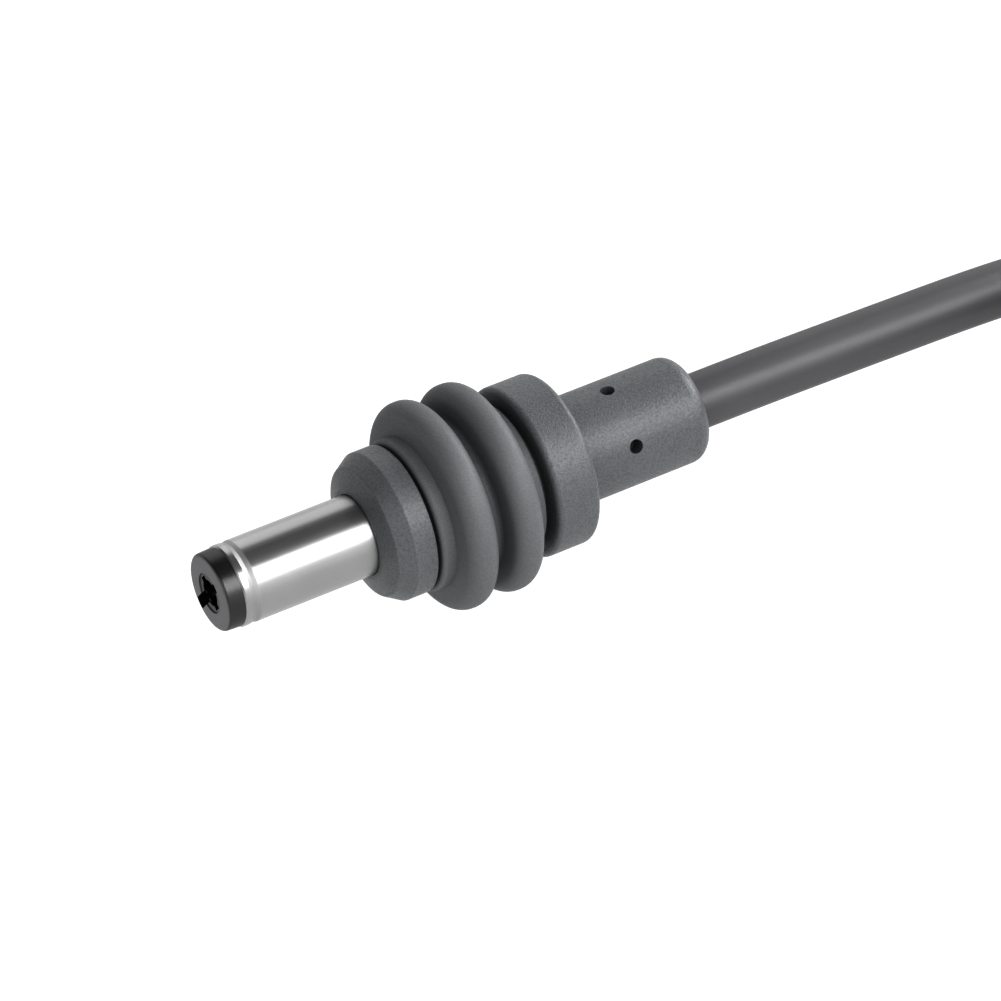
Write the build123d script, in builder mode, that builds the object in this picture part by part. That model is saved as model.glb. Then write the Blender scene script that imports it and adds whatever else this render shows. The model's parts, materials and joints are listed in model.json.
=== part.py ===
# Power lead with a sealed 5.5 by 2.1 mm DC plug at one end and a USB-C plug at the other.
# Millimetres. +X runs along the DC plug from its tip to its cable, +Z is up, and the origin is on the
# plug's axis at the flat shoulder round the barrel's root. The lead lies on a flat surface.
import os
from math import atan2, cos, radians, sin, tan

from build123d import *

# DC barrel, a drawn and plated tube
barrel_d = 5.5
barrel_wall = 0.35
barrel_len = 9.6
barrel_edge = 0.12
neck_from_front = 0.5
neck_width = 0.6
neck_depth = 0.08
root_undercut = 0.18
root_len = 2.2
flange_d = 6.4
flange_t = 0.5

# Tip insulator and its mouth
tip_len = 1.2
tip_d = 5.32
tip_front_d = 5.24
tip_edge = 0.28
mouth_d = 2.75
recess_depth = 0.15
mouth_depth = 0.3
notch_w = 0.5
slot_w = 0.75
slot_depth = 0.95
slot_angle = -51.0

# Centre socket, a split spring tube with a solder tail
socket_bore = 2.1
socket_wall = 0.28
socket_depth = 9.0
socket_floor = 0.5
slit_w = 0.36
slit_len = 4.0
slit_count = 4
tail_d = 1.1
tail_end = 8.0

# Rear insulator and the sleeve's solder terminal
insulator_head_d = 4.2
insulator_head_t = 1.2
terminal_t = 0.4
lug_w = 1.6
lug_end = 8.2
lug_inset = 0.15

# Housing moulding
shoulder_d = 6.1
dome_x = 0.5
dome_d = 8.8
chamfer_x = 1.55
nose_d = 10.1
nose_len = 3.1
seat_d = 8.5
collar_d = 11.7
collar_len = 3.2
rear_d = 7.3
rear_end = 24.75
collar_round = 0.4
rear_round = 1.0
nose_round = 0.12
pin_hole_d = 0.95
pin_hole_x = 18.9
pin_hole_depth = 1.2
pin_hole_spread = 35.3
mould_split_angle = 120.0

# Rubber seal with two ribs
seal_gap_front = 0.25
seal_gap_rear = 0.45
seal_len = 7.75
lip_d = 10.4
rib_d = 14.2
rib_first = 5.62
rib_pitch = 3.38
rib_top_half = 0.95
rib_base_half = 1.32
rib_crown_half = 0.07
lip_round = 0.35
valley_d = 10.0
valley_round = 0.4

# Inner mould round the joints
mould_front = 0.9
mould_d = 7.2
mould_waist_d = 5.0
mould_waist_x = 12.6
mould_shoulder_x = 10.4
mould_end = 15.6

# Cable, its two cores, and how far its jacket reaches into each plug
cable_d = 3.8
core_d = 1.3
strand_d = 0.75
core_offset = 0.68
jacket_in_plug = 10.75
strip_x = 8.8
strand_end = 5.8
core_bend_x = 12.4
solder_from = 6.0
solder_to = 7.8
solder_d = 1.9
solder_film = 0.08

# Room for the socket's leaves to spring, and round the barrel where it enters the housing's shoulder.
# Every other joint is moulded or pressed and touches.
leaf_play = 0.05
seat_step = 0.1
seat_play = 0.03

# Put-away coil
coil_columns = 2
coil_layers = 4
coil_mid_d = 38.0
coil_edge = 1.0
coil_x = 75.5
coil_stub_x = 61.5
bend_share = 0.45

# USB-C plug
usb_back_x = 59.8
relief_len = 8.5
relief_end_d = 5.2
relief_groove_w = 0.7
relief_groove_depth = 0.45
relief_grooves = 3
relief_groove_first = 2.2
relief_groove_pitch = 2.2
relief_root_d = 6.0
grip_len = 17.5
grip_w = 10.8
grip_h = 6.4
grip_round = 2.3
grip_edge = 0.7
shell_w = 8.25
shell_h = 2.4
shell_wall = 0.25
shell_len = 6.65
shell_seat = 1.5
insulator_recess = 0.2
tongue_slot_w = 6.8
tongue_slot_h = 0.85
tongue_slot_depth = 5.2
contact_w = 0.25
contact_t = 0.15
contact_pitch = 0.5
contact_front = 1.0
contact_tail = 2.4
upper_places = (-5.5, -2.5, -1.5, -0.5, 0.5, 2.5, 5.5)
lower_places = (-5.5, -2.5, 1.5, 2.5, 5.5)
board_w = 8.4
board_t = 0.8
board_len = 9.2
chip_size = 3.0
chip_t = 0.75
chip_back = 5.2
small_chip = (1.6, 0.8, 0.8)
small_chip_gap = 2.4
latch_t = 0.2
latch_arm = 0.25
latch_reach = 3.6
can_wall = 0.2
can_w = 9.6
can_h = 4.8
can_round = 1.4
usb_jacket_in = 10.0
usb_core_end = 13.0
usb_strand_spread = 1.4
pad_len = 2.0
core_bend = 1.0
core_straight = 0.6

# Places that follow from the sizes above
barrel_r = barrel_d / 2
bore_r = barrel_r - barrel_wall
root_r = barrel_r - root_undercut
tip_x = -(barrel_len + tip_len)
socket_x = tip_x + mouth_depth
socket_r = socket_bore / 2 + socket_wall
bush_bore_r = socket_r + leaf_play
lip_bore_r = socket_bore / 2
socket_end = socket_x + socket_depth + socket_floor
cable_r = cable_d / 2
floor_z = -rib_d / 2
seal_start = nose_len + seal_gap_front
seal_end = seal_start + seal_len
collar_start = seal_end + seal_gap_rear
collar_end = collar_start + collar_len
jacket_x = rear_end - jacket_in_plug

os.makedirs("parts", exist_ok=True)


def save(part, name):
    """Label one finished piece and write it under its node's name."""
    part.label = name
    export_step(part, f"parts/{name}.step")


# Outer sleeve: the barrel with its neck groove, undercut root and flange
neck_x = -barrel_len + neck_from_front
with BuildPart() as outer_sleeve:
    with BuildSketch(Plane.XY):
        with BuildLine():
            Polyline(
                (-barrel_len, bore_r),
                (-barrel_len, barrel_r - barrel_edge),
                (-barrel_len + barrel_edge, barrel_r),
                (neck_x, barrel_r),
                (neck_x + neck_width / 2, barrel_r - neck_depth),
                (neck_x + neck_width, barrel_r),
                (seat_step, barrel_r),
                (seat_step, root_r),
                (root_len - flange_t, root_r),
                (root_len - flange_t, flange_d / 2),
                (root_len, flange_d / 2),
                (root_len, bore_r),
                close=True,
            )
        make_face()
    revolve(axis=Axis.X)
save(outer_sleeve.part, "outer_sleeve")

# Tip insulator: the ring in front of the barrel and the bush that lines it
with BuildPart() as tip_insulator:
    with BuildSketch(Plane.XY):
        with BuildLine():
            Polyline(
                (tip_x, mouth_d / 2),
                (tip_x, tip_front_d / 2),
                (-barrel_len, tip_d / 2),
                (-barrel_len, bore_r),
                (root_len, bore_r),
                (root_len, bush_bore_r),
                (socket_x, bush_bore_r),
                (socket_x, lip_bore_r),
                (tip_x + recess_depth, lip_bore_r),
                (tip_x + recess_depth, mouth_d / 2),
                close=True,
            )
        make_face()
    revolve(axis=Axis.X)
    rim = tip_insulator.edges().filter_by(GeomType.CIRCLE).group_by(Axis.X)[0].sort_by(SortBy.RADIUS)[-1]
    fillet(rim, radius=tip_edge)
    with BuildSketch(Plane.YZ.offset(tip_x)):
        Rectangle(barrel_d, slot_w, rotation=slot_angle, align=(Align.MIN, Align.CENTER))
    extrude(amount=slot_depth, mode=Mode.SUBTRACT)
    with BuildSketch(Plane.YZ.offset(tip_x + recess_depth)):
        for i in range(slit_count):
            turn = slot_angle + 360 * i / slit_count
            Rectangle(mouth_d / 2, notch_w, rotation=turn, align=(Align.MIN, Align.CENTER))
    extrude(amount=mouth_depth - recess_depth, mode=Mode.SUBTRACT)
save(tip_insulator.part, "tip_insulator")

# Centre socket: split spring tube, closed behind, with a tail to solder to
with BuildPart() as centre_socket:
    with BuildSketch(Plane.XY):
        with BuildLine():
            Polyline(
                (socket_x, socket_bore / 2),
                (socket_x, socket_r),
                (socket_end, socket_r),
                (socket_end, tail_d / 2),
                (tail_end, tail_d / 2),
                (tail_end, 0),
                (socket_end - socket_floor, 0),
                (socket_end - socket_floor, socket_bore / 2),
                close=True,
            )
        make_face()
    revolve(axis=Axis.X)
    with BuildSketch(Plane.YZ.offset(socket_x)):
        for i in range(slit_count):
            turn = slot_angle + 360 * i / slit_count
            Rectangle(barrel_d / 2, slit_w, rotation=turn, align=(Align.MIN, Align.CENTER))
    extrude(amount=slit_len, mode=Mode.SUBTRACT)
save(centre_socket.part, "centre_socket")

# Rear insulator: a headed bush that holds the socket's tail in the middle of the barrel
with BuildPart() as rear_insulator:
    with BuildSketch(Plane.XY):
        with BuildLine():
            Polyline(
                (socket_end, tail_d / 2),
                (socket_end, bush_bore_r),
                (root_len, bush_bore_r),
                (root_len, insulator_head_d / 2),
                (root_len + insulator_head_t, insulator_head_d / 2),
                (root_len + insulator_head_t, tail_d / 2),
                close=True,
            )
        make_face()
    revolve(axis=Axis.X)
save(rear_insulator.part, "rear_insulator")

# Sleeve terminal: a washer on the barrel's flange with its solder lug bent back
lug_y = flange_d / 2 - terminal_t - lug_inset
with BuildPart() as sleeve_terminal:
    with BuildSketch(Plane.YZ.offset(root_len)):
        Circle(flange_d / 2)
        Circle(insulator_head_d / 2, mode=Mode.SUBTRACT)
    extrude(amount=terminal_t)
    with BuildSketch(Plane.YZ.offset(root_len)):
        with Locations((lug_y, 0)):
            Rectangle(terminal_t, lug_w, align=(Align.MIN, Align.CENTER))
    extrude(amount=lug_end - root_len)
save(sleeve_terminal.part, "sleeve_terminal")

# Two cores from the cable, one to the socket's tail and one to the lug
positive_y = -(tail_d + strand_d) / 2 - solder_film
negative_y = lug_y - strand_d / 2 - solder_film


def core_points(side_y, joint_y, end_x):
    """Corners of one core's path: straight out of the jacket, over to its joint, and along it."""
    out = (rear_end, side_y, 0)
    bend = (core_bend_x, side_y, 0)
    over = (core_bend_x - 1.8, joint_y, 0)
    return [out, bend, over, (end_x, joint_y, 0)]


with BuildPart() as positive_core:
    with BuildLine() as positive_route:
        FilletPolyline(*core_points(-core_offset, positive_y, strip_x), radius=1.0)
    with BuildSketch(Plane.YZ.offset(rear_end)):
        with Locations((-core_offset, 0)):
            Circle(core_d / 2)
            Circle(strand_d / 2, mode=Mode.SUBTRACT)
    sweep(path=positive_route.line)
save(positive_core.part, "positive_core")

with BuildPart() as negative_core:
    with BuildLine() as negative_route:
        FilletPolyline(*core_points(core_offset, negative_y, strip_x), radius=1.0)
    with BuildSketch(Plane.YZ.offset(rear_end)):
        with Locations((core_offset, 0)):
            Circle(core_d / 2)
            Circle(strand_d / 2, mode=Mode.SUBTRACT)
    sweep(path=negative_route.line)
save(negative_core.part, "negative_core")

with BuildPart() as positive_strands:
    with BuildLine() as positive_wire:
        FilletPolyline(*core_points(-core_offset, positive_y, strand_end), radius=1.0)
    with BuildSketch(Plane.YZ.offset(rear_end)):
        with Locations((-core_offset, 0)):
            Circle(strand_d / 2)
    sweep(path=positive_wire.line)
save(positive_strands.part, "positive_strands")

with BuildPart() as negative_strands:
    with BuildLine() as negative_wire:
        FilletPolyline(*core_points(core_offset, negative_y, strand_end), radius=1.0)
    with BuildSketch(Plane.YZ.offset(rear_end)):
        with Locations((core_offset, 0)):
            Circle(strand_d / 2)
    sweep(path=negative_wire.line)
save(negative_strands.part, "negative_strands")

# Solder round each joint, shaped by the tail, the lug and the strands
with BuildPart() as solder_joints:
    with BuildSketch(Plane.YZ.offset(solder_from)):
        with Locations((positive_y / 2, 0)):
            Ellipse(solder_d / 2 + strand_d / 4, solder_d / 2.4)
        with Locations((negative_y, 0)):
            Circle(solder_d / 2.6)
    extrude(amount=solder_to - solder_from)
    add(centre_socket.part, mode=Mode.SUBTRACT)
    add(positive_strands.part, mode=Mode.SUBTRACT)
    add(negative_strands.part, mode=Mode.SUBTRACT)
    add(sleeve_terminal.part, mode=Mode.SUBTRACT)
save(solder_joints.part, "solder_joints")

# End of the cable's jacket, held in the rear barrel
with BuildPart() as plug_jacket_end:
    with BuildSketch(Plane.YZ.offset(jacket_x)):
        Circle(cable_r)
        with Locations((core_offset, 0), (-core_offset, 0)):
            Circle(core_d / 2, mode=Mode.SUBTRACT)
    extrude(amount=rear_end - jacket_x)
save(plug_jacket_end.part, "plug_jacket_end")

# Inner mould: shot round the terminals and the jacket's end before the housing
mould_pieces = [
    centre_socket, positive_core, negative_core, positive_strands, negative_strands, solder_joints,
]
terminal_x = root_len + terminal_t
head_x = root_len + insulator_head_t
with BuildPart() as inner_mould:
    with BuildSketch(Plane.XY):
        with BuildLine():
            Polyline(
                (mould_front, root_r),
                (mould_front, mould_d / 2),
                (mould_shoulder_x, mould_d / 2),
                (mould_waist_x, mould_waist_d / 2),
                (mould_end, mould_waist_d / 2),
                (mould_end, 0),
                (head_x, 0),
                (head_x, insulator_head_d / 2),
                (terminal_x, insulator_head_d / 2),
                (terminal_x, flange_d / 2),
                (root_len - flange_t, flange_d / 2),
                (root_len - flange_t, root_r),
                close=True,
            )
        make_face()
    revolve(axis=Axis.X)
    with BuildSketch(Plane.YZ.offset(terminal_x)):
        with Locations((lug_y, 0)):
            Rectangle(terminal_t, lug_w, align=(Align.MIN, Align.CENTER))
    extrude(amount=lug_end - terminal_x, mode=Mode.SUBTRACT)
    with BuildSketch(Plane.YZ.offset(jacket_x)):
        Circle(cable_r)
    extrude(amount=mould_end - jacket_x, mode=Mode.SUBTRACT)
    for piece in mould_pieces:
        add(piece.part, mode=Mode.SUBTRACT)
save(inner_mould.part, "inner_mould")

# Plug housing: nose, seal seat, collar and rear barrel in one moulding over the inner one
with BuildPart() as plug_housing:
    with BuildSketch(Plane.XY):
        with BuildLine():
            Polyline(
                (0, barrel_r + seat_play),
                (0, shoulder_d / 2),
                (dome_x, dome_d / 2),
                (chamfer_x, nose_d / 2),
                (nose_len, nose_d / 2),
                (nose_len, seat_d / 2),
                (collar_start, seat_d / 2),
                (collar_start, collar_d / 2),
                (collar_end, collar_d / 2),
                (collar_end, rear_d / 2),
                (rear_end, rear_d / 2),
                (rear_end, cable_r),
                (mould_end, cable_r),
                (mould_end, mould_waist_d / 2),
                (mould_waist_x, mould_waist_d / 2),
                (mould_shoulder_x, mould_d / 2),
                (mould_front, mould_d / 2),
                (mould_front, root_r),
                (seat_step, root_r),
                (seat_step, barrel_r + seat_play),
                close=True,
            )
        make_face()
    revolve(axis=Axis.X)
    rings = plug_housing.edges().filter_by(GeomType.CIRCLE)
    collar_rings = rings.filter_by(lambda ring: abs(ring.radius - collar_d / 2) < 0.01)
    rear_ring = rings.filter_by(lambda ring: abs(ring.radius - rear_d / 2) < 0.01).sort_by(Axis.X)[-1]
    nose_rings = rings.filter_by(lambda ring: abs(ring.radius - nose_d / 2) < 0.01)
    dome_ring = rings.filter_by(lambda ring: abs(ring.radius - dome_d / 2) < 0.01)
    fillet(collar_rings, radius=collar_round)
    fillet(rear_ring, radius=rear_round)
    fillet(nose_rings + dome_ring, radius=nose_round)
    for side in (0, 180):
        for spread in (-pin_hole_spread, pin_hole_spread):
            angle = radians(mould_split_angle - 90 + side + spread)
            outward = (0, -sin(angle), cos(angle))
            with BuildSketch(Plane(origin=(pin_hole_x, 0, 0), z_dir=outward).offset(rear_d / 2 - pin_hole_depth)):
                Circle(pin_hole_d / 2)
            extrude(amount=rear_d, mode=Mode.SUBTRACT)
save(plug_housing.part, "plug_housing")

# Seal sleeve: a soft ring in the seat with a front lip and two full-round ribs
rib_second = rib_first + rib_pitch
rib_flank_turn = atan2((rib_d - valley_d) / 2, rib_base_half - rib_top_half)
rib_round = (rib_top_half - rib_crown_half) / tan(rib_flank_turn / 2)
with BuildPart() as seal_sleeve:
    with BuildSketch(Plane.XY) as seal_profile:
        with BuildLine():
            Polyline(
                (seal_start, seat_d / 2),
                (seal_start, lip_d / 2),
                (rib_first - rib_base_half, lip_d / 2),
                (rib_first - rib_top_half, rib_d / 2),
                (rib_first + rib_top_half, rib_d / 2),
                (rib_first + rib_base_half, valley_d / 2),
                (rib_second - rib_base_half, valley_d / 2),
                (rib_second - rib_top_half, rib_d / 2),
                (rib_second + rib_top_half, rib_d / 2),
                (rib_second + rib_base_half, valley_d / 2),
                (seal_end, valley_d / 2),
                (seal_end, seat_d / 2),
                close=True,
            )
        make_face()
        rib_corners = seal_profile.vertices().group_by(Axis.Y)[-1]
        fillet(rib_corners, radius=rib_round)
        valley_corners = seal_profile.vertices().filter_by_position(Axis.Y, valley_d / 2 - 0.01, valley_d / 2 + 0.01)
        fillet(valley_corners.sort_by(Axis.X)[:-1], radius=valley_round)
        lip_corner = seal_profile.vertices().filter_by_position(Axis.X, seal_start - 0.01, seal_start + 0.01)
        fillet(lip_corner.sort_by(Axis.Y)[-1], radius=lip_round)
    revolve(axis=Axis.X)
save(seal_sleeve.part, "seal_sleeve")

# Cable behind the plug: level at its exit, sinking gently to the surface
low_z = floor_z + cable_r
entry_z = low_z + cable_d
lead_points = [
    (rear_end, 0, 0),
    (29.5, 0, 0),
    (38.0, 0, -0.19),
    (50.0, 0, -0.5),
    (56.5, 0, entry_z),
    (coil_stub_x, 0, entry_z),
]


def bend_radii(points):
    """A radius for each inner corner, from its shorter run and half its turn."""
    radii = []
    for start, corner, end in zip(points, points[1:], points[2:]):
        first = Vector(*corner) - Vector(*start)
        second = Vector(*end) - Vector(*corner)
        half_turn = radians(first.get_angle(second)) / 2
        radii.append(bend_share * min(first.length, second.length) / tan(half_turn))
    return radii


with BuildPart() as cable_lead:
    with BuildLine() as lead_route:
        FilletPolyline(*lead_points, radius=bend_radii(lead_points))
    with BuildSketch(Plane.YZ.offset(rear_end)):
        Circle(cable_r)
    sweep(path=lead_route.line)
save(cable_lead.part, "cable_lead")

# Spare cable as a neat coil of touching turns, two side by side and four high. The lead joins its second
# layer, and the lowest turn runs straight off it and eases up to the USB-C plug's height.
coil_radius = coil_mid_d / 2
coil_half_w = coil_columns * cable_d / 2
outer_turn = coil_radius + coil_half_w - cable_r
coil_y = -outer_turn
usb_y = 2 * coil_y
usb_z = floor_z + grip_h / 2
exit_points = [
    (coil_x, usb_y, low_z),
    (coil_x - 5.2, usb_y, low_z),
    (usb_back_x + 5.2, usb_y, usb_z),
    (usb_back_x, usb_y, usb_z),
]
with BuildPart() as cable_coil:
    with BuildSketch(Plane.XY.offset(floor_z)):
        with Locations((coil_x, coil_y)):
            Circle(coil_radius + coil_half_w)
            Circle(coil_radius - coil_half_w, mode=Mode.SUBTRACT)
    extrude(amount=coil_layers * cable_d)
    chamfer(cable_coil.edges().filter_by(GeomType.CIRCLE), length=coil_edge)
    with BuildSketch(Plane.YZ.offset(coil_stub_x)):
        with Locations((0, entry_z)):
            Circle(cable_r)
    extrude(amount=coil_x - coil_stub_x)
    with BuildLine() as exit_route:
        FilletPolyline(*exit_points, radius=bend_radii(exit_points))
    with BuildSketch(Plane.YZ.offset(coil_x)):
        with Locations((usb_y, low_z)):
            Circle(cable_r)
    sweep(path=exit_route.line)
save(cable_coil.part, "cable_coil")

# USB-C plug. Its planes look along the plug from the cable's end to the shell's mouth.
usb_rear = Plane(origin=(usb_back_x, usb_y, usb_z), x_dir=(0, -1, 0), z_dir=(-1, 0, 0))
grip_start = relief_len
grip_end = relief_len + grip_len
shell_start = grip_end - shell_seat
shell_front = grip_end + shell_len
insulator_front = shell_front - insulator_recess
slot_bottom = insulator_front - tongue_slot_depth
board_front = shell_start - 0.1
board_rear = board_front - board_len
board_face = board_t / 2
can_rear = board_rear - 3.6
contact_end = insulator_front - contact_front

with BuildPart() as usb_shell:
    with BuildSketch(usb_rear.offset(shell_start)):
        RectangleRounded(shell_w, shell_h, shell_h / 2 - 0.02)
        RectangleRounded(shell_w - 2 * shell_wall, shell_h - 2 * shell_wall, shell_h / 2 - shell_wall - 0.02,
                         mode=Mode.SUBTRACT)
    extrude(amount=shell_front - shell_start)
save(usb_shell.part, "usb_shell")

# Contacts: flat strips at half-millimetre places, lying on the board and along the slot
with BuildPart() as usb_contacts_upper:
    with BuildSketch(usb_rear.offset(board_front - contact_tail)):
        for place in upper_places:
            with Locations((place * contact_pitch, board_face)):
                Rectangle(contact_w, contact_t, align=(Align.CENTER, Align.MIN))
    extrude(amount=contact_end - board_front + contact_tail)
save(usb_contacts_upper.part, "usb_contacts_upper")

with BuildPart() as usb_contacts_lower:
    with BuildSketch(usb_rear.offset(board_front - contact_tail)):
        for place in lower_places:
            with Locations((place * contact_pitch, -board_face)):
                Rectangle(contact_w, contact_t, align=(Align.CENTER, Align.MAX))
    extrude(amount=contact_end - board_front + contact_tail)
save(usb_contacts_lower.part, "usb_contacts_lower")

# Latch plate: a middle plate behind the slot whose two arms run along the slot's sides
with BuildPart() as usb_latch_plate:
    with BuildSketch(usb_rear.offset(shell_start + 0.3)):
        Rectangle(tongue_slot_w + 2 * latch_arm, latch_t)
    extrude(amount=slot_bottom - shell_start - 0.7)
    with BuildSketch(usb_rear.offset(slot_bottom - 0.4)):
        for side in (-1, 1):
            with Locations((side * (tongue_slot_w + latch_arm) / 2, 0)):
                Rectangle(latch_arm, latch_t)
    extrude(amount=latch_reach)
save(usb_latch_plate.part, "usb_latch_plate")

with BuildPart() as usb_insulator:
    with BuildSketch(usb_rear.offset(shell_start)):
        RectangleRounded(shell_w - 2 * shell_wall, shell_h - 2 * shell_wall, shell_h / 2 - shell_wall - 0.02)
    extrude(amount=insulator_front - shell_start)
    with BuildSketch(usb_rear.offset(slot_bottom)):
        Rectangle(tongue_slot_w, tongue_slot_h)
    extrude(amount=tongue_slot_depth, mode=Mode.SUBTRACT)
    add(usb_contacts_upper.part, mode=Mode.SUBTRACT)
    add(usb_contacts_lower.part, mode=Mode.SUBTRACT)
    add(usb_latch_plate.part, mode=Mode.SUBTRACT)
save(usb_insulator.part, "usb_insulator")

# Circuit board with the chip that asks the charger for its voltage
with BuildPart() as usb_circuit_board:
    with BuildSketch(usb_rear.offset(board_rear)):
        Rectangle(board_w, board_t)
    extrude(amount=board_len)
save(usb_circuit_board.part, "usb_circuit_board")

with BuildPart() as usb_trigger_chip:
    with BuildSketch(usb_rear.offset(board_front - chip_back - chip_size / 2)):
        with Locations((0, -board_face)):
            Rectangle(chip_size, chip_t, align=(Align.CENTER, Align.MAX))
    extrude(amount=chip_size)
save(usb_trigger_chip.part, "usb_trigger_chip")

with BuildPart() as usb_small_chips:
    with BuildSketch(usb_rear.offset(board_front - chip_back - small_chip[0] / 2)):
        for side in (-1, 1):
            with Locations((side * small_chip_gap, board_face)):
                Rectangle(small_chip[1], small_chip[2], align=(Align.CENTER, Align.MIN))
    extrude(amount=small_chip[0])
save(usb_small_chips.part, "usb_small_chips")

# Cable's end in the USB-C plug: jacket, two cores and their strands up to the board's pads
with BuildPart() as usb_jacket_end:
    with BuildSketch(usb_rear):
        Circle(cable_r)
        with Locations((core_offset, 0), (-core_offset, 0)):
            Circle(core_d / 2, mode=Mode.SUBTRACT)
    extrude(amount=usb_jacket_in)
save(usb_jacket_end.part, "usb_jacket_end")

strand_y = board_face + strand_d / 2 + solder_film


def usb_core_points(side, end):
    """Corners of one core's path from the plug's rear: along the jacket, out to its pad, over the pad."""
    local = [
        (side * core_offset, 0, 0),
        (side * core_offset, 0, usb_jacket_in + core_straight),
        (side * usb_strand_spread, strand_y, usb_core_end),
        (side * usb_strand_spread, strand_y, end),
    ]
    return [usb_rear.from_local_coords(Vector(*point)) for point in local]


def usb_route(points):
    """Rounded path through a core's corners."""
    with BuildLine(mode=Mode.PRIVATE) as route:
        FilletPolyline(*points, radius=core_bend)
    return route.line


cores = {}
for side, core_name in ((-1, "usb_positive"), (1, "usb_negative")):
    with BuildPart() as core:
        with BuildSketch(usb_rear):
            with Locations((side * core_offset, 0)):
                Circle(core_d / 2)
                Circle(strand_d / 2, mode=Mode.SUBTRACT)
        sweep(path=usb_route(usb_core_points(side, usb_core_end + 1.0)))
    save(core.part, core_name + "_core")
    with BuildPart() as strands:
        with BuildSketch(usb_rear):
            with Locations((side * core_offset, 0)):
                Circle(strand_d / 2)
        sweep(path=usb_route(usb_core_points(side, board_rear + pad_len)))
    save(strands.part, core_name + "_strands")
    cores[core_name] = (core, strands)

with BuildPart() as usb_solder_joints:
    with BuildSketch(usb_rear.offset(board_rear + 0.3)):
        for side in (-1, 1):
            with Locations((side * usb_strand_spread, board_face)):
                Rectangle(1.7, 0.9, align=(Align.CENTER, Align.MIN))
    extrude(amount=pad_len - 0.3)
    for core, strands in cores.values():
        add(strands.part, mode=Mode.SUBTRACT)
save(usb_solder_joints.part, "usb_solder_joints")

# Shield can: a thin box round the board, closed onto the shell in front
with BuildPart() as usb_shield_can:
    with BuildSketch(usb_rear.offset(can_rear)):
        RectangleRounded(can_w, can_h, can_round)
    extrude(amount=shell_start + can_wall - can_rear)
    with BuildSketch(usb_rear.offset(can_rear)):
        RectangleRounded(can_w - 2 * can_wall, can_h - 2 * can_wall, can_round - can_wall)
    extrude(amount=shell_start - can_rear, mode=Mode.SUBTRACT)
    with BuildSketch(usb_rear.offset(shell_start)):
        RectangleRounded(shell_w, shell_h, shell_h / 2 - 0.02)
    extrude(amount=can_wall, mode=Mode.SUBTRACT)
save(usb_shield_can.part, "usb_shield_can")

# Inner mould: fills the can round the board and grips the jacket's end
usb_pieces = [
    usb_contacts_upper, usb_contacts_lower, usb_circuit_board, usb_trigger_chip, usb_small_chips,
    usb_jacket_end, usb_solder_joints,
]
with BuildPart() as usb_inner_mould:
    with BuildSketch(usb_rear.offset(can_rear)):
        RectangleRounded(can_w - 2 * can_wall, can_h - 2 * can_wall, can_round - can_wall)
    extrude(amount=shell_start - can_rear)
    with BuildSketch(usb_rear.offset(grip_start)):
        Circle(relief_end_d / 2)
    extrude(amount=can_rear - grip_start)
    for piece in usb_pieces:
        add(piece.part, mode=Mode.SUBTRACT)
    for core, strands in cores.values():
        add(core.part, mode=Mode.SUBTRACT)
        add(strands.part, mode=Mode.SUBTRACT)
save(usb_inner_mould.part, "usb_inner_mould")

# Grip: rounded body over the can with a tapered, grooved strain relief behind it
with BuildPart() as usb_grip:
    with BuildSketch(usb_rear.offset(grip_start)):
        RectangleRounded(grip_w, grip_h, grip_round)
    extrude(amount=grip_len)
    grip_ends = usb_grip.faces().filter_by(Axis.X).edges()
    fillet(grip_ends, radius=grip_edge)
    with BuildSketch(usb_rear):
        Circle(relief_end_d / 2)
    with BuildSketch(usb_rear.offset(grip_start + grip_edge)):
        Circle(relief_root_d / 2)
    loft()
    for i in range(relief_grooves):
        place = relief_groove_first + relief_groove_pitch * i
        with BuildSketch(usb_rear.offset(place)):
            Circle(grip_w)
            Circle(relief_end_d / 2 - relief_groove_depth, mode=Mode.SUBTRACT)
        extrude(amount=relief_groove_w, mode=Mode.SUBTRACT)
    with BuildSketch(usb_rear):
        Circle(cable_r)
    extrude(amount=usb_jacket_in, mode=Mode.SUBTRACT)
    with BuildSketch(usb_rear.offset(grip_start)):
        Circle(relief_end_d / 2)
    extrude(amount=can_rear - grip_start, mode=Mode.SUBTRACT)
    with BuildSketch(usb_rear.offset(can_rear)):
        RectangleRounded(can_w, can_h, can_round)
    extrude(amount=shell_start + can_wall - can_rear, mode=Mode.SUBTRACT)
    with BuildSketch(usb_rear.offset(shell_start)):
        RectangleRounded(shell_w, shell_h, shell_h / 2 - 0.02)
    extrude(amount=shell_front - shell_start, mode=Mode.SUBTRACT)
save(usb_grip.part, "usb_grip")

# Radii that the two laid-out stretches of cable bend with
print("lead bends", [round(radius, 1) for radius in bend_radii(lead_points)])
print("exit bends", [round(radius, 1) for radius in bend_radii(exit_points)])
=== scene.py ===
"""Scene for the sealed DC plug on its lead: looks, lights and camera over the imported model.

+X runs along the DC plug from its tip to its cable and +Z is up. The sizes below are in millimetres, and MM turns
them into the scene's metres.
"""
import json
from math import cos, pi, radians, sin, tau

import bmesh
import bpy
from mathutils import Matrix, Vector


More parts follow.
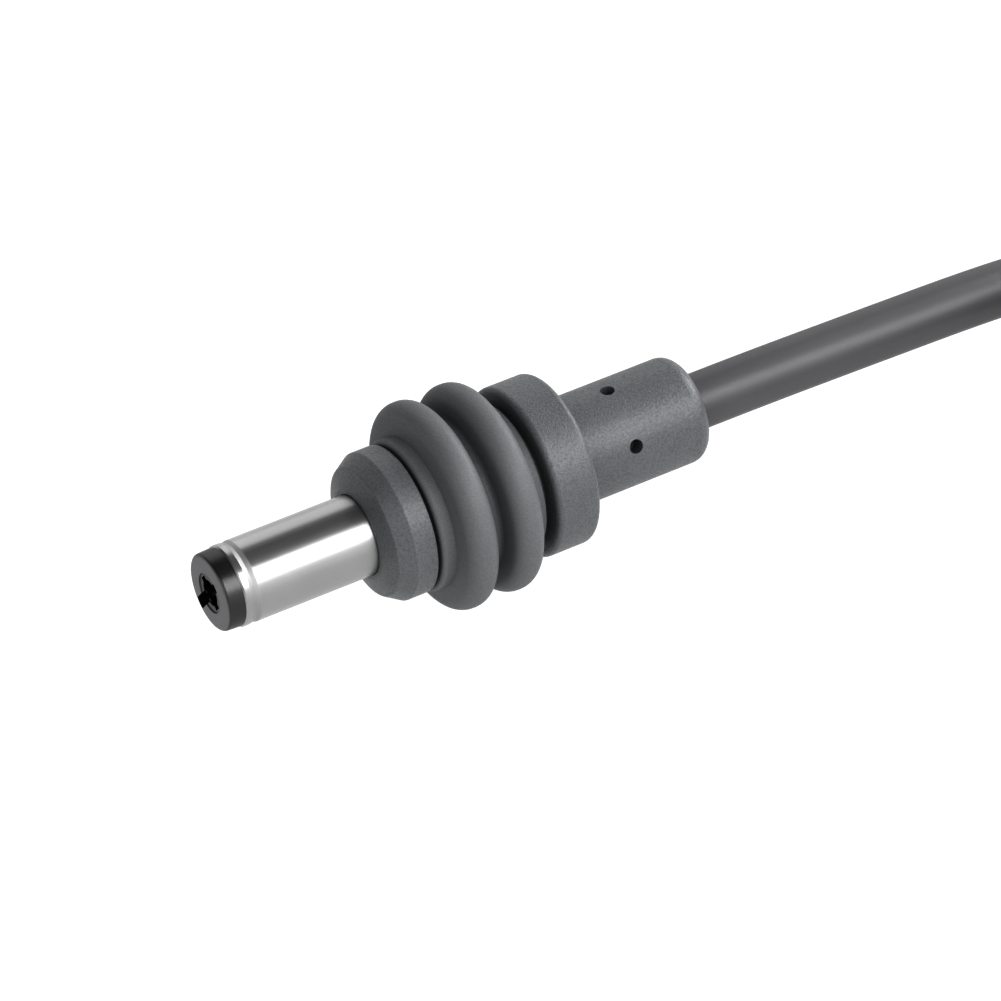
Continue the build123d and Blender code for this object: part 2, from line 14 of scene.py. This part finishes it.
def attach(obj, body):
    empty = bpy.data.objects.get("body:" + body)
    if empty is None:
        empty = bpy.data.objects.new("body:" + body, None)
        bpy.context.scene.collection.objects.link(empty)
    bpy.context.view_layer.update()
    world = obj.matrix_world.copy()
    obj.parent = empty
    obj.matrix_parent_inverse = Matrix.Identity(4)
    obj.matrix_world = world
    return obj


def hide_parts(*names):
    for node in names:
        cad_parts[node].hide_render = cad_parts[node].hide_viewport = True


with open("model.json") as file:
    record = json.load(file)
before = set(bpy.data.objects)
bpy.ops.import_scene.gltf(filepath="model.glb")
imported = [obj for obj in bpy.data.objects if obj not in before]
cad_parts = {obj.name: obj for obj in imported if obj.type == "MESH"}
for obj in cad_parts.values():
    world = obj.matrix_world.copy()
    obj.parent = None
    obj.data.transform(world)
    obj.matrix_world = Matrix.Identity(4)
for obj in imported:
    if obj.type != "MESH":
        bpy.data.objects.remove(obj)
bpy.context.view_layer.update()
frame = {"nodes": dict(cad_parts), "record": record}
nodes = frame["nodes"]

MM = 0.001

# Stage
FLOOR_Z = -7.1
FLOOR_HALF_M = 4.0
FLOOR_COLOUR = (0.1, 0.1, 0.1, 1)
FLOOR_GLOW = 0.98
WORLD_GLOW = 0.32
VIEW_GAMMA = 0.5

# Camera: measured turn and height of the view, a long lens, and where the barrel's root falls in the frame
TURN = radians(30.9)
HEIGHT = radians(41.4)
LENS = 200.0
SENSOR = 36.0
CLIP_M = (0.01, 20.0)
FRAME_PX = 1001
PX_PER_MM = 15.65
ROOT_PX = (357.6, 534.9)

# DC plug's tip: where it starts, where its paler front face (a painted reflection of the white floor) ends, and
# the groove on the barrel with its soft edges
TIP_X = -10.8
FACE_FADE = (0.02, 0.12)
NECK = (-9.1, -8.5)
NECK_EDGE = 0.05

# Black ring, its bush, and its mouth with three notches and a slot
RING_BACK_X = -9.6
RING_D = 5.32
RING_FRONT_D = 5.24
RING_EDGE = 0.28
BUSH_D = 4.8
BUSH_END_X = 2.2
BUSH_BORE_D = 2.76
SOCKET_X = -10.5
MOUTH_D = 2.75
MOUTH_STEP = 0.08
LIP_BORE_D = 1.8
NOTCH_W = 0.6
NOTCH_REACH = 1.15
SLOT_W = 0.8
SLOT_DEPTH = 0.9
SLOT_WALL = 0.13
SLOT_ANGLE = radians(-54.0)
CUT_OVERLAP = 0.01
CUT_AHEAD = 0.2
SIDES = 160
EDGE_STEPS = 6
SHARP = radians(35)

# Cable: its diameter, the USB-C plug's place, the coil, and the points of the runs into and out of it
CABLE_D = 3.8 * MM
USB_Y = -41.8
USB_Z = -3.9
COIL_X = 75.5
COIL_Y = -20.9
COIL_LOW = -5.2
COIL_OUTER = 20.9
TURN_PITCH = 3.8
POINTS_PER_TURN = 24
# Part of a turn after which the cable starts to move on to its next place, and the part that this takes
MOVE_AFTER = 0.82
MOVE_TAKES = 0.14
# Places of the turns across the coil, as columns in from the outside and layers up from the lowest
TURN_PLACES = [(0, 1), (0, 2), (0, 3), (1, 3), (1, 2), (1, 1), (1, 0), (0, 0)]
ENTRY_Z = COIL_LOW + TURN_PITCH
LEAD_POINTS = [(24.75, 0, 0), (29.5, 0, 0), (38.0, 0, -0.19), (50.0, 0, -0.5),
               (56.5, 0, ENTRY_Z), (61.5, 0, ENTRY_Z), (68.0, 0, ENTRY_Z)]
EXIT_POINTS = [(70.3, USB_Y, COIL_LOW), (65.0, USB_Y, USB_Z), (59.8, USB_Y, USB_Z)]
BEVEL_STEPS = 7
CURVE_STEPS = 6

# Finishes: sizes of noise in grains per metre, and how strongly it shows in shade, gloss and height
CLOUD_DETAIL = 3.0
CLOUD = 300.0
SOFT_CLOUD = 250.0
MOULD_CLOUD = 260.0
NOISE_RANGE = (0.3, 0.7)
METAL_GRAIN = 2500.0
METAL_GRAIN_DEPTH = 1.5e-6
METAL_SWING = 0.04
METAL_SHADE = 0.93
PLASTIC_SWING = 0.05
PLASTIC_SHADE = 0.9
GRAIN_SHARE = 0.7
CLOUD_SHARE = 0.3
ERODED_SWING = 0.1
ERODED_DETAIL = 3.0
ERODED_ROUGHNESS = 0.6

# Barrel: the shades of its plate, its drawn lines, and how much duller its groove is
NICKEL = ((0.49, 0.49, 0.49), (0.54, 0.54, 0.54))
NICKEL_GLOSS = (0.28, 0.31)
DRAWN_LINES = 3500.0
DRAWN_STRETCH = (0.05, 1, 1)
DRAWN_DEPTH = 1e-7
GROOVE_DULL = 0.3

# Tip: the colours of its front face, painted pale as a painted reflection of the white floor, and of its black
# side, and how much duller the face is
TIP_PAINTED_FACE_AND_SIDE_COLOURS = ((0.235, 0.235, 0.242), (0.012, 0.012, 0.0125))
TIP_IOR = 1.75
TIP_GLOSS = (0.29, 0.35)
TIP_GRAIN = 6000.0
TIP_GRAIN_DEPTH = 2e-6
FACE_DULL = 0.2


# ---------------------------------------------------------------- camera
def make_camera():
    """Places the camera so that the barrel's root falls where the photo has it."""
    right = Vector((cos(TURN), -sin(TURN), 0))
    back = Vector((-sin(TURN) * cos(HEIGHT), -cos(TURN) * cos(HEIGHT), sin(HEIGHT)))
    up = back.cross(right)
    focal_px = LENS / SENSOR * FRAME_PX
    depth = focal_px / PX_PER_MM * MM
    middle = FRAME_PX / 2
    across = (ROOT_PX[0] - middle) / PX_PER_MM * MM
    above = (middle - ROOT_PX[1]) / PX_PER_MM * MM
    place = depth * back - across * right - above * up
    data = bpy.data.cameras.new("camera")
    data.lens = LENS
    data.clip_start, data.clip_end = CLIP_M
    cam = bpy.data.objects.new("camera", data)
    bpy.context.scene.collection.objects.link(cam)
    cam.matrix_world = Matrix((
        (right.x, up.x, back.x, place.x),
        (right.y, up.y, back.y, place.y),
        (right.z, up.z, back.z, place.z),
        (0, 0, 0, 1),
    ))
    bpy.context.scene.camera = cam


# ---------------------------------------------------------------- materials
def new_material(name):
    """An empty node material with one principled shader, and the parts a finish is built from."""
    mat = bpy.data.materials.new(name)
    mat.use_nodes = True
    tree = mat.node_tree
    tree.nodes.clear()
    out = tree.nodes.new("ShaderNodeOutputMaterial")
    shader = tree.nodes.new("ShaderNodeBsdfPrincipled")
    tree.links.new(shader.outputs["BSDF"], out.inputs["Surface"])
    place = tree.nodes.new("ShaderNodeTexCoord")
    return mat, tree, shader, place


def noise(tree, place, scale, detail=2.0, roughness=0.5, stretch=None):
    """A noise texture in the piece's own coordinates, stretched if asked."""
    tex = tree.nodes.new("ShaderNodeTexNoise")
    tex.inputs["Scale"].default_value = scale
    tex.inputs["Detail"].default_value = detail
    tex.inputs["Roughness"].default_value = roughness
    source = place.outputs["Object"]
    if stretch:
        mapping = tree.nodes.new("ShaderNodeMapping")
        mapping.inputs["Scale"].default_value = stretch
        tree.links.new(source, mapping.inputs["Vector"])
        source = mapping.outputs["Vector"]
    tree.links.new(source, tex.inputs["Vector"])
    return tex.outputs["Fac"]


def spread(tree, value, low, high):
    """Maps the values that noise mostly has to a range."""
    ramp = tree.nodes.new("ShaderNodeMapRange")
    ramp.inputs["From Min"].default_value = NOISE_RANGE[0]
    ramp.inputs["From Max"].default_value = NOISE_RANGE[1]
    ramp.inputs["To Min"].default_value = low
    ramp.inputs["To Max"].default_value = high
    tree.links.new(value, ramp.inputs["Value"])
    return ramp.outputs["Result"]


def blend_colour(tree, value, first, second):
    """Mixes two colours by a noise value."""
    mix = tree.nodes.new("ShaderNodeMix")
    mix.data_type = "RGBA"
    mix.inputs["A"].default_value = (*first, 1)
    mix.inputs["B"].default_value = (*second, 1)
    tree.links.new(value, mix.inputs["Factor"])
    return mix.outputs["Result"]


def bump(tree, shader, height, distance):
    """Feeds a height into the shader's normal."""
    node = tree.nodes.new("ShaderNodeBump")
    node.inputs["Distance"].default_value = distance
    node.inputs["Strength"].default_value = 1.0
    tree.links.new(height, node.inputs["Height"])
    tree.links.new(node.outputs["Normal"], shader.inputs["Normal"])


def along_x(tree, place, start, end):
    """0 before one place on the plug's axis and 1 after another, in millimetres."""
    split = tree.nodes.new("ShaderNodeSeparateXYZ")
    tree.links.new(place.outputs["Object"], split.inputs["Vector"])
    ramp = tree.nodes.new("ShaderNodeMapRange")
    ramp.inputs["From Min"].default_value = start * MM
    ramp.inputs["From Max"].default_value = end * MM
    tree.links.new(split.outputs["X"], ramp.inputs["Value"])
    return ramp.outputs["Result"]


def maths(tree, operation, first, second):
    """One sum on two values or sockets."""
    node = tree.nodes.new("ShaderNodeMath")
    node.operation = operation
    for socket, value in zip(node.inputs, (first, second)):
        if isinstance(value, (int, float)):
            socket.default_value = value
        else:
            tree.links.new(value, socket)
    return node.outputs["Value"]


def worn(tree, shader, place, colour, shade, cloud_grain, roughness, swing, grain, depth):
    """Lets a finish vary: its colour in soft clouds, and its gloss and height in fine grains."""
    cloud = noise(tree, place, cloud_grain, CLOUD_DETAIL)
    darker = tuple(c * shade for c in colour)
    tree.links.new(blend_colour(tree, cloud, darker, colour), shader.inputs["Base Color"])
    fine = noise(tree, place, grain)
    tree.links.new(spread(tree, fine, roughness - swing, roughness + swing), shader.inputs["Roughness"])
    bump(tree, shader, fine, depth)


def metal(name, colour, roughness):
    """Plated or rolled metal with faint drawing marks."""
    mat, tree, shader, place = new_material(name)
    shader.inputs["Metallic"].default_value = 1.0
    worn(tree, shader, place, colour, METAL_SHADE, CLOUD,
         roughness, METAL_SWING, METAL_GRAIN, METAL_GRAIN_DEPTH)
    return mat


def plastic(name, colour, roughness, grain=4000.0, grain_depth=4e-6, specular=0.5):
    """Moulded plastic or rubber with a fine eroded or rubbed surface."""
    mat, tree, shader, place = new_material(name)
    shader.inputs["Specular IOR Level"].default_value = specular
    worn(tree, shader, place, colour, PLASTIC_SHADE, SOFT_CLOUD,
         roughness, PLASTIC_SWING, grain, grain_depth)
    return mat


def eroded_plastic(name, dark, light, roughness, grain, grain_depth, specular):
    """Moulding from a spark-eroded tool: fine grains that differ a little in shade, gloss and height."""
    mat, tree, shader, place = new_material(name)
    shader.inputs["Specular IOR Level"].default_value = specular
    fine = noise(tree, place, grain, ERODED_DETAIL, ERODED_ROUGHNESS)
    cloud = noise(tree, place, MOULD_CLOUD, CLOUD_DETAIL)
    grains = maths(tree, "MULTIPLY", spread(tree, fine, 0.0, 1.0), GRAIN_SHARE)
    shade = maths(tree, "ADD", grains, maths(tree, "MULTIPLY", cloud, CLOUD_SHARE))
    tree.links.new(blend_colour(tree, shade, dark, light), shader.inputs["Base Color"])
    gloss = spread(tree, fine, roughness + ERODED_SWING, roughness - ERODED_SWING)
    tree.links.new(gloss, shader.inputs["Roughness"])
    bump(tree, shader, fine, grain_depth)
    return mat


def barrel_plate():
    """Polished nickel, drawn lengthwise, with a dull turned groove near the tip."""
    mat, tree, shader, place = new_material("nickel_plate")
    shader.inputs["Metallic"].default_value = 1.0
    cloud = noise(tree, place, CLOUD, CLOUD_DETAIL)
    tree.links.new(blend_colour(tree, cloud, *NICKEL), shader.inputs["Base Color"])
    lines = noise(tree, place, DRAWN_LINES, stretch=DRAWN_STRETCH)
    polish = spread(tree, lines, *NICKEL_GLOSS)
    into, out_of = (along_x(tree, place, x - NECK_EDGE, x + NECK_EDGE) for x in NECK)
    groove = maths(tree, "SUBTRACT", into, out_of)
    dull = maths(tree, "MULTIPLY", groove, GROOVE_DULL)
    tree.links.new(maths(tree, "ADD", polish, dull), shader.inputs["Roughness"])
    bump(tree, shader, lines, DRAWN_DEPTH)
    return mat


def tip_plastic():
    """Glossy black moulding with a duller front face, painted pale as a painted reflection of the white floor."""
    mat, tree, shader, place = new_material("black_plastic")
    shader.inputs["IOR"].default_value = TIP_IOR
    shader.inputs["Specular IOR Level"].default_value = 1.0
    # The front face's pale colour is a painted reflection of the white floor on the black moulding
    side = along_x(tree, place, TIP_X + FACE_FADE[0], TIP_X + FACE_FADE[1])
    tree.links.new(blend_colour(tree, side, *TIP_PAINTED_FACE_AND_SIDE_COLOURS), shader.inputs["Base Color"])
    fine = noise(tree, place, TIP_GRAIN)
    gloss = spread(tree, fine, *TIP_GLOSS)
    dull = maths(tree, "MULTIPLY", maths(tree, "SUBTRACT", 1.0, side), FACE_DULL)
    tree.links.new(maths(tree, "ADD", gloss, dull), shader.inputs["Roughness"])
    bump(tree, shader, fine, TIP_GRAIN_DEPTH)
    return mat


FINISHES = {
    "nickel_plate": barrel_plate(),
    "terminal_brass": metal("terminal_brass", (0.72, 0.55, 0.28), 0.3),
    "bare_strands": metal("bare_strands", (0.75, 0.4, 0.24), 0.35),
    "solder": metal("solder", (0.62, 0.63, 0.65), 0.22),
    "contact_gold": metal("contact_gold", (0.86, 0.62, 0.24), 0.2),
    "spring_steel": metal("spring_steel", (0.55, 0.55, 0.56), 0.32),
    "housing_plastic": eroded_plastic("housing_plastic", (0.155, 0.159, 0.165), (0.26, 0.266, 0.275),
                                      0.36, grain=7000.0, grain_depth=3.2e-5, specular=0.85),
    "seal_rubber": eroded_plastic("seal_rubber", (0.208, 0.213, 0.219), (0.26, 0.265, 0.271),
                                  0.55, grain=9000.0, grain_depth=1.2e-5, specular=0.7),
    "cable_jacket": plastic("cable_jacket", (0.172, 0.17, 0.176), 0.4,
                            grain=7000.0, grain_depth=2e-6, specular=1.0),
    "black_plastic": tip_plastic(),
    "red_insulation": plastic("red_insulation", (0.5, 0.04, 0.03), 0.45),
    "board_green": plastic("board_green", (0.02, 0.14, 0.07), 0.35),
    "chip_tan": plastic("chip_tan", (0.5, 0.4, 0.28), 0.6),
}

for sub in frame["record"]["subparts"]:
    piece = nodes[sub["node"]]
    piece.data.materials.clear()
    piece.data.materials.append(FINISHES[sub["material_slot"]])
# Painted shade: the centre socket deep in the mouth is coloured near black instead of its bright plated metal
nodes["centre_socket"].data.materials[0] = metal("socket_painted_shade", (0.07, 0.07, 0.07), 0.5)


# ---------------------------------------------------------------- tip ring
def turned(name, profile):
    """A closed profile of (x, radius) points in millimetres, turned about the plug's axis."""
    mesh = bpy.data.meshes.new(name)
    count = len(profile)
    verts = []
    faces = []
    for i in range(SIDES):
        angle = tau * i / SIDES
        for x, r in profile:
            verts.append((x * MM, r * cos(angle) * MM, r * sin(angle) * MM))
        step = (i + 1) % SIDES
        for j in range(count):
            after = (j + 1) % count
            faces.append((i * count + j, i * count + after, step * count + after, step * count + j))
    mesh.from_pydata(verts, [], faces)
    shape = bmesh.new()
    shape.from_mesh(mesh)
    bmesh.ops.recalc_face_normals(shape, faces=shape.faces)
    shape.to_mesh(mesh)
    shape.free()
    piece = bpy.data.objects.new(name, mesh)
    bpy.context.scene.collection.objects.link(piece)
    return piece


def arm_box(angle, x_from, x_to, reach, width):
    """A box from the axis outward at an angle, for cutting."""
    shape = bmesh.new()
    bmesh.ops.create_cube(shape, size=1.0)
    for vert in shape.verts:
        out = (vert.co.y + 0.5) * reach
        side = vert.co.z * width
        x = x_from if vert.co.x < 0 else x_to
        y = out * cos(angle) - side * sin(angle)
        z = out * sin(angle) + side * cos(angle)
        vert.co = Vector((x, y, z)) * MM
    bmesh.ops.recalc_face_normals(shape, faces=shape.faces)
    mesh = bpy.data.meshes.new("cutter")
    shape.to_mesh(mesh)
    shape.free()
    cutter = bpy.data.objects.new("cutter", mesh)
    bpy.context.scene.collection.objects.link(cutter)
    return cutter


def cut_away(piece, cutters):
    """Takes the cutters' shapes out of a piece and removes them."""
    for cutter in cutters:
        change = piece.modifiers.new("cut", "BOOLEAN")
        change.operation = "DIFFERENCE"
        change.solver = "EXACT"
        change.object = cutter
    bpy.context.view_layer.update()
    graph = bpy.context.evaluated_depsgraph_get()
    mesh = bpy.data.meshes.new_from_object(piece.evaluated_get(graph))
    piece.modifiers.clear()
    piece.data = mesh
    for cutter in cutters:
        bpy.data.objects.remove(cutter)


def make_tip_ring():
    """The black ring and its bush, with a stepped mouth, three notches and a slot that ends inside the rim."""
    front_r = RING_FRONT_D / 2
    edge = [(TIP_X + RING_EDGE * (1 - sin(a)), front_r - RING_EDGE * (1 - cos(a)))
            for a in (pi / 2 * (1 - i / EDGE_STEPS) for i in range(EDGE_STEPS + 1))]
    profile = [(TIP_X, MOUTH_D / 2)] + edge + [
        (RING_BACK_X, RING_D / 2), (RING_BACK_X, BUSH_D / 2),
        (BUSH_END_X, BUSH_D / 2), (BUSH_END_X, BUSH_BORE_D / 2),
        (SOCKET_X, BUSH_BORE_D / 2), (SOCKET_X, LIP_BORE_D / 2),
        (TIP_X + MOUTH_STEP, LIP_BORE_D / 2), (TIP_X + MOUTH_STEP, MOUTH_D / 2)]
    ring = turned("tip_ring", profile)
    cutters = [arm_box(SLOT_ANGLE, TIP_X - CUT_AHEAD, TIP_X + SLOT_DEPTH, front_r - SLOT_WALL, SLOT_W)]
    for i in range(1, 4):
        angle = SLOT_ANGLE + tau * i / 4
        cutters.append(arm_box(angle, TIP_X + MOUTH_STEP / 2, SOCKET_X + CUT_OVERLAP, NOTCH_REACH, NOTCH_W))
    cut_away(ring, cutters)
    ring.data.materials.clear()
    ring.data.materials.append(FINISHES["black_plastic"])
    for face in ring.data.polygons:
        face.use_smooth = True
    ring.data.set_sharp_from_angle(angle=SHARP)
    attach(ring, "root")
    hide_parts("tip_insulator")


# ---------------------------------------------------------------- cable
def smooth(t):
    """Eases from 0 to 1."""
    t = min(max(t, 0.0), 1.0)
    return t * t * (3 - 2 * t)


def coil_points():
    """Round turns that touch: each moves on to the next place across the coil just before it closes."""
    turns = len(TURN_PLACES) - 0.5
    # The curve runs a little inside its points, so they stand that much further out
    outward = 2 / (1 + cos(tau / POINTS_PER_TURN / 2))
    points = []
    for i in range(1, int(turns * POINTS_PER_TURN)):
        t = i / POINTS_PER_TURN
        here = TURN_PLACES[int(t)]
        after = TURN_PLACES[min(int(t) + 1, len(TURN_PLACES) - 1)]
        shift = smooth((t - int(t) - MOVE_AFTER) / MOVE_TAKES)
        column = here[0] + shift * (after[0] - here[0])
        layer = here[1] + shift * (after[1] - here[1])
        angle = pi / 2 - tau * t
        reach = (COIL_OUTER - column * TURN_PITCH) * outward
        points.append((COIL_X + reach * cos(angle), COIL_Y + reach * sin(angle),
                       COIL_LOW + layer * TURN_PITCH))
    return points


def make_cable():
    """The whole cable as one curve: behind the plug, round the coil and on to the USB-C plug."""
    route = LEAD_POINTS + coil_points() + EXIT_POINTS
    data = bpy.data.curves.new("cable", "CURVE")
    data.dimensions = "3D"
    line = data.splines.new("NURBS")
    line.points.add(len(route) - 1)
    for point, (x, y, z) in zip(line.points, route):
        point.co = (x * MM, y * MM, z * MM, 1)
    line.order_u = 3
    line.use_endpoint_u = True
    data.resolution_u = CURVE_STEPS
    data.bevel_depth = CABLE_D / 2
    data.bevel_resolution = BEVEL_STEPS
    data.use_fill_caps = True
    cable = bpy.data.objects.new("cable", data)
    bpy.context.scene.collection.objects.link(cable)
    data.materials.append(FINISHES["cable_jacket"])
    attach(cable, "root")
    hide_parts("cable_lead", "cable_coil")


# ---------------------------------------------------------------- stage and lights
def make_floor():
    """A plain white floor that glows enough to stay white under the plug."""
    mesh = bpy.data.meshes.new("floor")
    corners = [(x * FLOOR_HALF_M, y * FLOOR_HALF_M, FLOOR_Z * MM)
               for x, y in ((-1, -1), (1, -1), (1, 1), (-1, 1))]
    mesh.from_pydata(corners, [], [(0, 1, 2, 3)])
    floor = bpy.data.objects.new("floor", mesh)
    bpy.context.scene.collection.objects.link(floor)
    mat, _, shader, _ = new_material("floor")
    shader.inputs["Base Color"].default_value = FLOOR_COLOUR
    shader.inputs["Roughness"].default_value = 1.0
    shader.inputs["Specular IOR Level"].default_value = 0.0
    shader.inputs["Emission Color"].default_value = (1, 1, 1, 1)
    shader.inputs["Emission Strength"].default_value = FLOOR_GLOW
    mesh.materials.append(mat)


def soft_light(name, angle, distance, height, width, power, x=0.0, lean=0.0):
    """A soft panel facing the plug, at an angle from the floor in front over the top, leaning towards the cable.

    x and the panel's distance, height and width are in metres.
    """
    data = bpy.data.lights.new(name, "AREA")
    data.shape = "RECTANGLE"
    data.size = width
    data.size_y = height
    data.energy = power
    across = cos(radians(lean))
    away = Vector((sin(radians(lean)), -cos(radians(angle)) * across, sin(radians(angle)) * across))
    panel = bpy.data.objects.new(name, data)
    bpy.context.scene.collection.objects.link(panel)
    panel.location = Vector((x, 0, 0)) + away * distance
    panel.rotation_mode = "QUATERNION"
    panel.rotation_quaternion = away.to_track_quat("Z", "Y")


def make_world():
    """Even white light from all round, and the contrast of the photo."""
    world = bpy.data.worlds.new("world")
    world.use_nodes = True
    sky = world.node_tree.nodes["Background"]
    sky.inputs["Color"].default_value = (1, 1, 1, 1)
    sky.inputs["Strength"].default_value = WORLD_GLOW
    scene = bpy.context.scene
    scene.world = world
    scene.view_settings.view_transform = "Standard"
    scene.view_settings.gamma = VIEW_GAMMA


make_camera()
make_cable()
make_tip_ring()
make_floor()
soft_light("front", angle=46, distance=0.75, height=0.5, width=1.3, power=7.0, x=0.4)
soft_light("low", angle=12, distance=0.8, height=0.45, width=1.5, power=2.0, x=0.2)
soft_light("back", angle=154, distance=0.9, height=0.8, width=1.6, power=4.2, x=0.45)
soft_light("over", angle=98, distance=0.8, height=0.6, width=0.6, power=4.5, lean=60)
soft_light("tip", angle=50, distance=0.8, height=0.5, width=0.6, power=1.4, lean=-55)
make_world()
